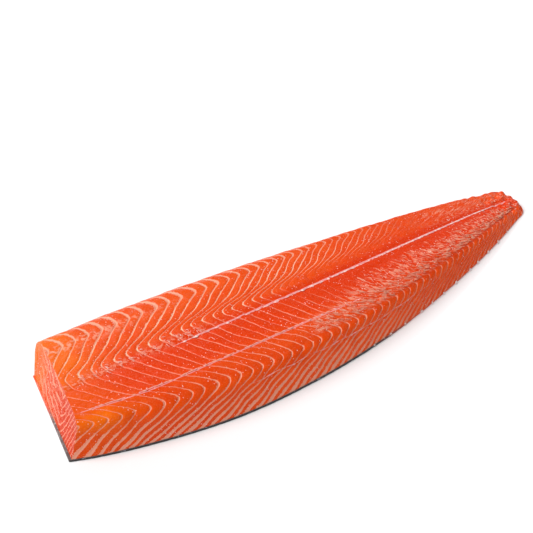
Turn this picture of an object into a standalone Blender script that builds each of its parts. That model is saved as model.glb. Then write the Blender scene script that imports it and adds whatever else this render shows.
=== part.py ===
"""Raw salmon fillet with its skin on, lying skin side down.

One long trimmed side: a knife cut closes the thick end, the tail end is thin and blunt. The flesh is a
loft whose columns follow the membranes between the flakes, so each flake stands slightly proud of the
grooves beside it and the grooves zigzag over the fillet as the real ones do. The skin is a thin sheet
under the flesh. Metres, +Z up, +X towards the tail, +Y towards the rounded far edge, origin at the
middle of the bottom of the bounding box.
"""

import bmesh
import bpy
import numpy as np

MM = 0.001

# Whole fillet, in millimetres. Distance s runs from the middle of the cut end to the tail tip.
LENGTH = 568.0
SKIN_THICKNESS = 1.6
SKIN_GAP = 0.3
SKIN_REACH = 0.9
SKIN_STEPS = 72
FAR_UNDERCUT = 0.21
TAIL_ROUNDING = 11.0
TAIL_END_SHARE = 0.4

# The knife cut at the thick end: the face turns with y and leans back with height.
CUT_PER_Y = 0.205
CUT_PER_Z = 0.26

# Plan outline and height at a few distances from the cut end.
STATIONS = (-40, 0, 60, 130, 220, 320, 420, 500, 568)
NEAR_EDGE = (-43, -61, -79, -91.5, -92, -79, -54, -27, 1)
FAR_EDGE = (69, 68, 67, 64.5, 60.5, 54, 48, 45, 40)
HEIGHT = (38, 40.5, 42, 43, 40.5, 34.5, 26.5, 17.5, 9)

# Lines that run along the fillet, as y at the same distances. Flakes change direction at each of them.
FAR_APEX = (39, 39, 39, 37.5, 38, 41, 41, 38, 30)
MID_HOOK = (-4, -5, -6.5, -5.5, -5, 2, 12, 20, 22)
MIDLINE = (-18, -18, -18, -19, -16, -8.5, 1.5, 11, 17)
NEAR_LINE = (-42, -46, -56, -58.5, -57, -51, -31, -8, 9)
NEAR_APEX_INSET = (1, 3, 7, 11, 10.5, 10, 11, 9, 6)
SEAM_INSET = (0.5, 1.5, 3, 6, 7, 6.5, 6, 5, 3)

# Flakes: spacing along the fillet, and how far each membrane lies tailward of its own hook at the
# middle, at a few distances of that hook.
FLAKE_AT_CUT = 11.8
FLAKE_AT_TAIL = 9.6
SAMPLES_PER_FLAKE = 3
GROOVE_DEPTH = 0.6
MIDLINE_DEPTH = 0.8
HOOKS = (-80, 0, 60, 150, 280, 400, 500, 568)
LAG_FAR_APEX = (40, 44, 55, 70, 62, 50, 34, 12)
LAG_FAR_SHOULDER = (30, 34, 45, 54, 48, 38, 26, 8)
LAG_FAR_BULGE = (20, 22, 31, 40, 34, 27, 18, 6)
LAG_FAR_BOTTOM = (0, 2, 8, 16, 14, 12, 8, 2)
LAG_MIDLINE = (0, 0, 2, 7, 6, 5, 4, 2)
LAG_NEAR_LINE = (24, 24, 26, 28, 24, 20, 14, 4)
LAG_NEAR_APEX = (44, 44, 48, 48, 48, 44, 34, 10)
LAG_SEAM = (31, 31, 31, 31, 38, 37, 29, 8)
LAG_SKIN = (9, 9, -7, -11, 6, 15, 15, 3)

FLESH_COLOUR = (0.80, 0.105, 0.018, 1.0)
SKIN_COLOUR = (0.045, 0.05, 0.06, 1.0)


def curve(stations, values):
    """A smooth curve through the given values: cubic pieces with central slopes at the inner stations."""
    x = np.array(stations, float)
    y = np.array(values, float)
    slope = np.gradient(y, x)

    def at(s):
        s = np.clip(s, x[0], x[-1])
        i = np.clip(np.searchsorted(x, s) - 1, 0, len(x) - 2)
        width = x[i + 1] - x[i]
        t = (s - x[i]) / width
        rise = t * t * (3 - 2 * t)
        return (
            y[i] * (1 - rise) + y[i + 1] * rise
            + width * slope[i] * t * (1 - t) ** 2
            - width * slope[i + 1] * t * t * (1 - t)
        )

    return at


near_edge = curve(STATIONS, NEAR_EDGE)
far_edge = curve(STATIONS, FAR_EDGE)
height = curve(STATIONS, HEIGHT)


def tail_share(s):
    """Share of the full width left at s: one until the tail's rounding, then a quarter ellipse."""
    into = np.clip((s - (LENGTH - TAIL_ROUNDING)) / TAIL_ROUNDING, 0, 1)
    return TAIL_END_SHARE + (1 - TAIL_END_SHARE) * np.sqrt(1 - into**2)


def top(s):
    return height(s) * np.sqrt(tail_share(s))


def across(s, y):
    """The place of y once the outline has been drawn in round the tail."""
    middle = 0.55 * far_edge(s) + 0.45 * near_edge(s)
    return middle + (y - middle) * tail_share(s)


def far_bottom(s):
    """The far side rounds under, so it meets the skin inside its widest line."""
    return far_edge(s) - FAR_UNDERCUT * height(s)


# Rows from the far bottom edge over the top to the near bottom edge: y, share of the height, and lag.
ROWS = (
    (far_bottom, 0.0, curve(HOOKS, LAG_FAR_BOTTOM), 2),
    (far_edge, 0.50, curve(HOOKS, LAG_FAR_BULGE), 2),
    (lambda s: far_edge(s) - 0.04 * height(s), 0.81, curve(HOOKS, LAG_FAR_SHOULDER), 3),
    (curve(STATIONS, FAR_APEX), 0.965, curve(HOOKS, LAG_FAR_APEX), 5),
    (curve(STATIONS, MID_HOOK), 1.0, lambda s: np.zeros_like(s), 1),
    (curve(STATIONS, MIDLINE), 1.0, curve(HOOKS, LAG_MIDLINE), 4),
    (curve(STATIONS, NEAR_LINE), 0.97, curve(HOOKS, LAG_NEAR_LINE), 3),
    (lambda s: near_edge(s) + curve(STATIONS, NEAR_APEX_INSET)(s), 0.85, curve(HOOKS, LAG_NEAR_APEX), 2),
    (lambda s: near_edge(s) + curve(STATIONS, SEAM_INSET)(s), 0.61, curve(HOOKS, LAG_SEAM), 3),
    (near_edge, 0.0, curve(HOOKS, LAG_SKIN), 0),
)
MIDLINE_ROW = sum(row[3] for row in ROWS[:5])
BASE = SKIN_THICKNESS + SKIN_GAP


def blend_weights():
    """For each row of the loft: which pair of ROWS it lies between, and how far along."""
    weights = []
    for i, row in enumerate(ROWS[:-1]):
        weights += [(i, j / row[3]) for j in range(row[3])]
    return weights + [(len(ROWS) - 2, 1.0)]


def crown(i, t):
    """Extra height between two rows, as a share of the height, that rounds the shoulders."""
    bulge = {1: 0.02, 2: 0.075, 3: 0.01, 6: 0.02, 7: 0.015}.get(i, 0.0)
    return 4 * bulge * t * (1 - t)


def section_point(s, i, t):
    """The smooth fillet's y and z at distance s, a share t of the way from row i to the next."""
    y = (1 - t) * ROWS[i][0](s) + t * ROWS[i + 1][0](s)
    share = (1 - t) * ROWS[i][1] + t * ROWS[i + 1][1] + crown(i, t)
    return across(s, y), BASE + share * (top(s) - BASE)


def cut_distance(i, t):
    """Where this row meets the knife cut, found by a few steps because y and z change along it."""
    s = 0.0
    for _ in range(12):
        y, z = section_point(s, i, t)
        s = CUT_PER_Y * y + CUT_PER_Z * z
    return float(s)


def hook_positions():
    """Distances of the columns' hooks: flakes narrow evenly to the tail, several columns to a flake."""
    hooks = [-80.0]
    while hooks[-1] < LENGTH + 60:
        share = np.clip(hooks[-1] / LENGTH, 0, 1)
        flake = FLAKE_AT_CUT + (FLAKE_AT_TAIL - FLAKE_AT_CUT) * share
        hooks.append(hooks[-1] + flake / SAMPLES_PER_FLAKE)
    return np.array(hooks)


def flesh_grid():
    """Distance s and groove depth of every point, one array row per loft row, one column per hook."""
    hooks = hook_positions()
    groove = np.where(np.arange(len(hooks)) % SAMPLES_PER_FLAKE == 0, GROOVE_DEPTH, 0.0)
    rows = []
    for i, t in blend_weights():
        lag = (1 - t) * ROWS[i][2](hooks) + t * ROWS[i + 1][2](hooks)
        rows.append(hooks + lag)
    return np.array(rows), groove


def row_points(s, i, t, depth, midline):
    """Points of one row at distances s, sunk by the groove depth square to the section's surface."""
    y, z = section_point(s, i, t)
    step = 0.05
    ahead = section_point(s, i, min(t + step, 1.0))
    behind = section_point(s, i, max(t - step, 0.0))
    along = np.array([ahead[0] - behind[0], ahead[1] - behind[1]])
    along /= np.linalg.norm(along, axis=0)
    edge_row = (i == 0 and t == 0.0) or t == 1.0
    fade = np.clip(top(s) / 20, 0.3, 1) * (0 if edge_row else 1)
    sink = (depth + (MIDLINE_DEPTH if midline else 0)) * fade
    return np.array([s, y + along[1] * sink, z - np.abs(along[0]) * sink]).T


def new_object(name, points, faces, colour, roughness, collection):
    mesh = bpy.data.meshes.new(name)
    mesh.from_pydata([tuple(p) for p in np.asarray(points) * MM], [], faces)
    built = bmesh.new()
    built.from_mesh(mesh)
    bmesh.ops.triangulate(built, faces=[f for f in built.faces if len(f.verts) > 3])
    bmesh.ops.recalc_face_normals(built, faces=built.faces)
    built.to_mesh(mesh)
    built.free()
    mesh.shade_smooth()
    material = bpy.data.materials.new(name)
    material.use_nodes = True
    shader = material.node_tree.nodes["Principled BSDF"]
    shader.inputs["Base Color"].default_value = colour
    shader.inputs["Roughness"].default_value = roughness
    shader.inputs["Metallic"].default_value = 0.0
    mesh.materials.append(material)
    obj = bpy.data.objects.new(name, mesh)
    collection.objects.link(obj)
    return obj


def without_repeats(corners):
    """The face's corners with repeats taken out, or nothing where too few are left."""
    kept = [c for n, c in enumerate(corners) if c != corners[n - 1]]
    return kept if len(set(kept)) == len(kept) and len(kept) > 2 else None


def flesh_points_and_faces():
    """The loft. A point past either end slides back to that end, so the ends come out clean."""
    snap = 0.3 * FLAKE_AT_TAIL / SAMPLES_PER_FLAKE
    distances, groove = flesh_grid()
    weights = blend_weights()
    points, index = [], []
    for number, ((i, t), s) in enumerate(zip(weights, distances)):
        start = cut_distance(i, t)
        inside = (s > start + snap) & (s < LENGTH - snap)
        kept = np.concatenate([[start], s[inside], [LENGTH]])
        depth = np.interp(kept, s, groove)
        first = len(points)
        points += list(row_points(kept, i, t, depth, number == MIDLINE_ROW))
        place = np.cumsum(inside) + first
        place[s >= LENGTH - snap] = first + len(kept) - 1
        index.append(place)
    index = np.array(index)
    faces = []
    for c in range(index.shape[1] - 1):
        for r in range(index.shape[0] - 1):
            faces.append([index[r, c], index[r, c + 1], index[r + 1, c + 1], index[r + 1, c]])
        faces.append([index[-1, c], index[-1, c + 1], index[0, c + 1], index[0, c]])
    faces.append(list(index[:, 0]))
    faces.append(list(index[::-1, -1]))
    faces = [[int(c) for c in face] for face in faces]
    return points, [f for f in map(without_repeats, faces) if f]


def skin_side(edge, outwards):
    """One long side of the skin sheet, its points closer together towards the rounded tail."""
    start = CUT_PER_Y * edge(0.0) - SKIN_REACH
    share = 1 - (1 - np.linspace(0, 1, SKIN_STEPS)) ** 1.6
    s = start + (LENGTH + SKIN_REACH - start) * share
    inside = np.minimum(s, LENGTH)
    return [(x, y + outwards * SKIN_REACH) for x, y in zip(s, across(inside, edge(inside)))]


def skin_points_and_faces():
    """A flat sheet of even thickness under the flesh, reaching a little past it all round."""
    near = skin_side(near_edge, -1)
    far = skin_side(far_bottom, 1)
    points = [(x, y, z) for z in (0.0, SKIN_THICKNESS) for x, y in near + far]
    low_near, low_far, high_near, high_far = (
        [SKIN_STEPS * loop + n for n in range(SKIN_STEPS)] for loop in range(4)
    )
    strips = ((low_near, low_far), (high_far, high_near), (high_near, low_near), (low_far, high_far))
    faces = [[a[n], a[n + 1], b[n + 1], b[n]] for a, b in strips for n in range(SKIN_STEPS - 1)]
    faces += [[low_near[n], high_near[n], high_far[n], low_far[n]] for n in (0, -1)]
    return points, faces


def centred(*point_lists):
    """Moves all the points so that the bounding box has its middle at x = y = 0."""
    every = np.concatenate([np.asarray(points) for points in point_lists])
    middle = (every.min(axis=0) + every.max(axis=0)) / 2
    return [np.asarray(points) - (middle[0], middle[1], 0) for points in point_lists]


def main():
    for obj in list(bpy.data.objects):
        bpy.data.objects.remove(obj, do_unlink=True)
    collection = bpy.data.collections.new("salmon_fillet")
    bpy.context.scene.collection.children.link(collection)
    flesh, flesh_faces = flesh_points_and_faces()
    skin, skin_faces = skin_points_and_faces()
    flesh, skin = centred(flesh, skin)
    new_object("flesh", flesh, flesh_faces, FLESH_COLOUR, 0.3, collection)
    new_object("skin", skin, skin_faces, SKIN_COLOUR, 0.35, collection)


main()
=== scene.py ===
"""Raw salmon side, skin down: flakes, fat lines, membranes, torn fibres and skin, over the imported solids.

Lengths are millimetres in the formulas and metres in the meshes. Distance s runs along the fillet from
the middle of the knife cut to the tail tip, and the across number v counts the lines that run along the
fillet: 0 far bottom edge, 1 far bulge, 2 far shoulder, 3 far apex, 4 hook, 5 midline, 6 near line,
7 near apex, 8 seam, 9 near skin edge.
"""

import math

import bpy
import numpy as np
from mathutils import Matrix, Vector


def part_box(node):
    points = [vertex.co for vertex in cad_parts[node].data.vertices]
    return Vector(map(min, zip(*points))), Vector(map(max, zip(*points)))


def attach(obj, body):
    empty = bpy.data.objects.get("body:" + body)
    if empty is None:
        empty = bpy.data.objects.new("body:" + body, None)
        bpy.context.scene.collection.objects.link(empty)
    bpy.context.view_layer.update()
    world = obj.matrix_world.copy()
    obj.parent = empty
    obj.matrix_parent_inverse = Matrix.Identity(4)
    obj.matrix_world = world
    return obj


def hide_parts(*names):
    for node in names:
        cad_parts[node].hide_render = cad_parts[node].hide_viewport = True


bl_info = {
    "name": "Salmon fillet",
    "version": (1, 0, 0),
    "blender": (4, 5, 0),
    "location": "View3D > Sidebar > Fillet",
    "description": "Builds the flesh, skin and small parts of a raw salmon side",
    "category": "Add Mesh",
}

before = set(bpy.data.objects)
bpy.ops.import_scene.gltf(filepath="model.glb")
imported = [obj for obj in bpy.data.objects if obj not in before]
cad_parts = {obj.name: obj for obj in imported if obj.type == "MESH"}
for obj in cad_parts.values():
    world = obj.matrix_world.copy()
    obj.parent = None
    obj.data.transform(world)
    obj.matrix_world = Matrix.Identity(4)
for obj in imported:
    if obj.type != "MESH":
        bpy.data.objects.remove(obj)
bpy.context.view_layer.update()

MM = 0.001

# Plan and height of the fillet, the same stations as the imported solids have.
LENGTH = 568.0
BASE = 1.9
FAR_UNDERCUT = 0.21
TAIL_ROUNDING = 11.0
TAIL_END_SHARE = 0.4
CUT_PER_Y = 0.205
CUT_PER_Z = 0.26
STATIONS = (-40, 0, 60, 130, 220, 320, 420, 500, 568)
NEAR_EDGE = (-43, -61, -79, -91.5, -92, -79, -54, -27, 1)
FAR_EDGE = (69, 68, 67, 64.5, 60.5, 54, 48, 45, 40)
HEIGHT = (38, 40.5, 42, 43, 40.5, 34.5, 26.5, 17.5, 9)
FAR_APEX = (39, 39, 39, 37.5, 38, 41, 41, 38, 30)
MID_HOOK = (-4, -5, -6.5, -5.5, -5, 2, 12, 20, 22)
MIDLINE = (-18, -18, -18, -19, -16, -8.5, 1.5, 11, 17)
NEAR_LINE = (-42, -46, -56, -58.5, -57, -51, -31, -8, 9)
NEAR_APEX_INSET = (1, 3, 7, 11, 10.5, 10, 11, 9, 6)
SEAM_INSET = (0.5, 1.5, 3, 6, 7, 6.5, 6, 5, 3)

# Flakes: spacing, and how far each membrane lies tailward of its own hook on each line.
FLAKE_AT_CUT = 11.8
FLAKE_AT_TAIL = 9.6
HOOK_START = -80.0
HOOK_MARGIN = 60.0
HOOKS = (-80, 0, 60, 150, 280, 400, 500, 568)
LAGS = (
    (0, 2, 8, 16, 14, 12, 8, 2),
    (20, 22, 31, 40, 34, 27, 18, 6),
    (30, 34, 45, 54, 48, 38, 26, 8),
    (40, 44, 55, 70, 62, 50, 34, 12),
    (0, 0, 0, 0, 0, 0, 0, 0),
    (0, 0, 2, 7, 6, 5, 4, 2),
    (24, 24, 26, 28, 24, 20, 14, 4),
    (44, 44, 49, 48, 48, 44, 34, 10),
    (31, 31, 34, 31, 38, 37, 27, 7),
    (9, 9, -7, -11, -3, -1, 1, 0),
)
SHARES = (0.0, 0.50, 0.81, 0.965, 1.0, 1.0, 0.97, 0.85, 0.61, 0.0)
CROWN = (0.0, 0.02, 0.075, 0.01, 0.0, 0.0, 0.02, 0.015, 0.0)

# Mesh density: rows in each zone between two lines, and places of the columns inside one flake.
ROWS_PER_ZONE = (10, 12, 18, 32, 8, 24, 20, 12, 16)
FLAKE_PLACES = (0.0, 0.045, 0.11, 0.27, 0.5, 0.73, 0.89, 0.955)
END_SNAP = 0.5

# The knife cut: rings of vertices, its fat lines, and its roughness as ripples (height, wavelength, seed).
CUT_RINGS = 26
CUT_LINES = 4.2
CUT_LOW = 0.64
CUT_RISE_FAR = 1.2
CUT_RISE_NEAR = 5.6
CUT_ROUGH = ((0.35, 11.0, 61), (0.25, 4.0, 62))

# Relief in millimetres, all of it below the solid's surface.
SINK = 0.45
PUFF = 0.26
GROOVE_WIDTH = 0.05
VALLEY_DEPTH = 0.8
VALLEY_WIDTH = 3.2
UNEVEN = 0.16
LOBES = 0.65
WOBBLE = 0.55
# How far, in v, the section and the membranes are averaged at each line, which rounds their corners.
SECTION_BLUR = (0.0, 0.14, 0.28, 0.16, 0.12, 0.12, 0.2, 0.3, 0.34, 0.0)
MEMBRANE_BLUR = (0.1, 0.1, 0.12, 0.06, 0.075, 0.2, 0.12, 0.13, 0.28, 0.0)

# The skin: its reach past the flesh in the solid, its top, its grid, and the rim's largest reach, its inset
# and its two heights.
SKIN_REACH = 0.9
SKIN_TOP = 1.86
SKIN_STEPS = 260
SKIN_COLUMNS = 48
RIM_REACH = 0.8
RIM_INSET = 0.55
RIM_HEIGHTS = (0.5, 1.2)

# Stands for a distance so large that the strand it belongs to isn't drawn, in millimetres.
FAR_AWAY = 50.0


def linear(hex_colour):
    """An sRGB hex colour such as "#e8501c" as linear red, green, blue and a full alpha."""
    parts = [int(hex_colour[i : i + 2], 16) / 255 for i in (1, 3, 5)]
    return tuple(c / 12.92 if c <= 0.04045 else ((c + 0.055) / 1.055) ** 2.4 for c in parts) + (1.0,)


def curve(stations, values):
    """A smooth curve through the given values: cubic pieces with central slopes at the inner stations."""
    x = np.array(stations, float)
    y = np.array(values, float)
    slope = np.gradient(y, x)

    def at(s):
        s = np.clip(s, x[0], x[-1])
        i = np.clip(np.searchsorted(x, s) - 1, 0, len(x) - 2)
        width = x[i + 1] - x[i]
        t = (s - x[i]) / width
        rise = t * t * (3 - 2 * t)
        return (
            y[i] * (1 - rise) + y[i + 1] * rise
            + width * slope[i] * t * (1 - t) ** 2
            - width * slope[i + 1] * t * t * (1 - t)
        )

    return at


near_edge = curve(STATIONS, NEAR_EDGE)
far_edge = curve(STATIONS, FAR_EDGE)
height = curve(STATIONS, HEIGHT)
LINE_Y = (
    lambda s: far_edge(s) - FAR_UNDERCUT * height(s),
    far_edge,
    lambda s: far_edge(s) - 0.04 * height(s),
    curve(STATIONS, FAR_APEX),
    curve(STATIONS, MID_HOOK),
    curve(STATIONS, MIDLINE),
    curve(STATIONS, NEAR_LINE),
    lambda s: near_edge(s) + curve(STATIONS, NEAR_APEX_INSET)(s),
    lambda s: near_edge(s) + curve(STATIONS, SEAM_INSET)(s),
    near_edge,
)
LINE_LAG = tuple(curve(HOOKS, values) for values in LAGS)
# Along its zone a membrane bends: arched from the shoulder to the far apex, an S from there to its hook,
# a blunt nose at the near apex. Each function takes the share of the zone and gives the share of the lag.
# Near the cut the S is nearly straight.
S_BEND = curve((0, 0.22, 0.42, 0.6, 0.72, 0.81, 0.9, 1), (0, 0.17, 0.32, 0.46, 0.63, 0.82, 0.95, 1))
S_ZONE = 3
S_STRAIGHT = 0.62
BENDS = (
    lambda t: t,
    lambda t: t,
    lambda t: 1 - (1 - t) ** 1.7,
    S_BEND,
    lambda t: t,
    lambda t: t**1.12,
    lambda t: 1 - (1 - t) ** 1.55,
    lambda t: t**1.7,
    lambda t: t**0.94,
)


def smoothstep(low, high, x):
    """Zero at low, one at high and smooth between them. Low may be the larger of the two."""
    t = np.clip((x - low) / (high - low), 0, 1)
    return t * t * (3 - 2 * t)


def ripple(x, y, wavelength, seed, waves=7):
    """Smooth unevenness of about unit size: sines of nearly one wavelength in random directions, summed."""
    rng = np.random.default_rng(seed)
    total = np.zeros(np.broadcast(x, y).shape)
    for _ in range(waves):
        turn = rng.uniform(0, 2 * np.pi)
        phase = rng.uniform(0, 2 * np.pi)
        cycles = rng.uniform(0.7, 1.35) / wavelength
        total += np.sin(2 * np.pi * cycles * (np.cos(turn) * x + np.sin(turn) * y) + phase)
    return total / math.sqrt(waves / 2)


def tail_share(s):
    """Share of the full width left at s: one until the tail's rounding, then a quarter ellipse."""
    into = np.clip((s - (LENGTH - TAIL_ROUNDING)) / TAIL_ROUNDING, 0, 1)
    return TAIL_END_SHARE + (1 - TAIL_END_SHARE) * np.sqrt(1 - into**2)


def across(s, y):
    """The place of y once the outline has been drawn in round the tail."""
    middle = 0.55 * far_edge(s) + 0.45 * near_edge(s)
    return middle + (y - middle) * tail_share(s)


def zone_of(v):
    """The zone between two lines that v lies in, and its share of the way across it."""
    zone = np.clip(np.floor(v).astype(int), 0, len(LINE_Y) - 2)
    return zone, v - zone


def pick(values, index):
    """values[index] where values is a list of arrays and index says which one each element takes."""
    return np.choose(index, values)


def plain_section(s, v):
    """y and z of the solid's section: straight between two lines in y, with a crowned share of the height."""
    zone, t = zone_of(v)
    lines = [np.broadcast_to(line(s), np.broadcast(s, v).shape) for line in LINE_Y]
    zone = np.broadcast_to(zone, lines[0].shape)
    y = (1 - t) * pick(lines, zone) + t * pick(lines, zone + 1)
    shares = np.array(SHARES)
    share = (1 - t) * shares[zone] + t * shares[zone + 1] + 4 * np.array(CROWN)[zone] * t * (1 - t)
    top = height(s) * np.sqrt(tail_share(s))
    return across(s, y), BASE + share * (top - BASE)


def blur_reach(v, blur):
    """Step of an average over v: the blur set for each line, and never past the two bottom edges."""
    last = len(blur) - 1
    return np.minimum(np.interp(v, np.arange(len(blur)), blur), np.minimum(v, last - v) / 2)


def surface(s, v):
    """Points of the smooth fillet: the plain section averaged over a short stretch of v, which rounds it."""
    total = 0.0
    reach = blur_reach(v, SECTION_BLUR)
    for step, weight in ((-2, 1), (-1, 4), (0, 6), (1, 4), (2, 1)):
        y, z = plain_section(s, v + step * reach)
        total = total + weight / 16 * np.array([y, z])
    return np.stack([s + 0 * total[0], total[0], total[1]], axis=-1)


def normals(s, v):
    """Unit normals of the smooth fillet, from central differences along it and across it."""
    ds, dv = 0.5, 0.02
    last = len(LINE_Y) - 1
    along = surface(s + ds, v) - surface(s - ds, v)
    over = surface(s, np.minimum(v + dv, last)) - surface(s, np.maximum(v - dv, 0))
    n = np.cross(over, along)
    return n / np.linalg.norm(n, axis=-1, keepdims=True)


def cut_start(v):
    """Distance s at which the row at v meets the slanted knife cut, found by repeated substitution."""
    s = np.zeros_like(v)
    for _ in range(12):
        p = surface(s, v)
        s = CUT_PER_Y * p[..., 1] + CUT_PER_Z * p[..., 2]
    return s


def septum_hooks():
    """Hook distances of the membranes: flakes narrow evenly to the tail, in thirds as in the solid."""
    hooks = [HOOK_START]
    while hooks[-1] < LENGTH + HOOK_MARGIN:
        share = np.clip(hooks[-1] / LENGTH, 0, 1)
        hooks.append(hooks[-1] + (FLAKE_AT_CUT + (FLAKE_AT_TAIL - FLAKE_AT_CUT) * share) / 3)
    return np.array(hooks[::3])


def plain_septum(hook, v):
    """Distance s at which a membrane crosses v, with its corners still sharp."""
    zone, t = zone_of(v)
    shape = np.broadcast(hook, v).shape
    lags = [np.broadcast_to(line(hook), shape) for line in LINE_LAG]
    bent = np.select([zone == i for i in range(len(BENDS))], [bend(t) for bend in BENDS])
    straight = S_STRAIGHT * smoothstep(150, 15, hook) * (zone == S_ZONE)
    bent = bent + straight * (t - bent)
    zone = np.broadcast_to(zone, shape)
    return hook + (1 - bent) * pick(lags, zone) + bent * pick(lags, zone + 1)


def septum_distance(hook, v):
    """Distance s at which the membrane with this hook crosses v: averaged over v, with a slight wander."""
    reach = blur_reach(v, MEMBRANE_BLUR)
    s = 0.5 * plain_septum(hook, v) + 0.25 * (plain_septum(hook, v - reach) + plain_septum(hook, v + reach))
    return s + WOBBLE * ripple(s, 14.0 * v, 34.0, 3)


def base_relief(s, v):
    """Depth below the solid that every piece on the flesh shares: a sink and a valley at the midline."""
    p = surface(s, v)
    from_midline = p[..., 1] - across(s, LINE_Y[5](s))
    valley = VALLEY_DEPTH * np.exp(-((from_midline / VALLEY_WIDTH) ** 2)) * (np.abs(v - 5) < 2)
    return -SINK - valley * smoothstep(0, 20, height(s) - 4)


def set_mesh(name, points, faces, material, body="root"):
    """A mesh object from points in millimetres in the fillet's own plan, moved to the frame's origin."""
    mesh = bpy.data.meshes.new(name)
    placed = (points - plan_centre()) * MM
    mesh.from_pydata(placed.tolist(), [], faces)
    mesh.validate()
    mesh.shade_smooth()
    mesh.materials.append(material)
    obj = bpy.data.objects.new(name, mesh)
    bpy.context.scene.collection.objects.link(obj)
    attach(obj, body)
    return obj


def plan_centre():
    """Where the frame's origin lies in the fillet's own plan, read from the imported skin's box."""
    low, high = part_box("skin")
    tip = LENGTH + SKIN_REACH
    widest = float(np.min(near_edge(np.linspace(0, LENGTH, 600)))) - SKIN_REACH
    return np.array([tip - high.x / MM, widest - low.y / MM, 0.0])


def put(mesh, name, values, domain="POINT"):
    """Stores one number a vertex or face, or four as a colour, as a named attribute."""
    values = np.asarray(values, np.float32)
    kind, key = ("FLOAT", "value") if values.ndim == 1 else ("FLOAT_COLOR", "color")
    layer = mesh.attributes.new(name, kind, domain)
    layer.data.foreach_set(key, values.ravel())


def wire(tree, node, inputs):
    """Links each input to the socket given for it, or sets it to the value given."""
    for key, value in inputs.items():
        if isinstance(value, bpy.types.NodeSocket):
            tree.links.new(value, node.inputs[key])
        else:
            node.inputs[key].default_value = value


def add(tree, kind, inputs=None, out=0, **settings):
    """Adds a shader node with its settings and links, and returns the output asked for."""
    node = tree.nodes.new("ShaderNode" + kind)
    for key, value in settings.items():
        setattr(node, key, value)
    wire(tree, node, inputs or {})
    return node.outputs[out]


def new_material(name):
    """An empty Principled material: the tree, and the shader to fill in."""
    material = bpy.data.materials.new(name)
    material.use_nodes = True
    tree = material.node_tree
    return material, tree, tree.nodes["Principled BSDF"]


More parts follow.
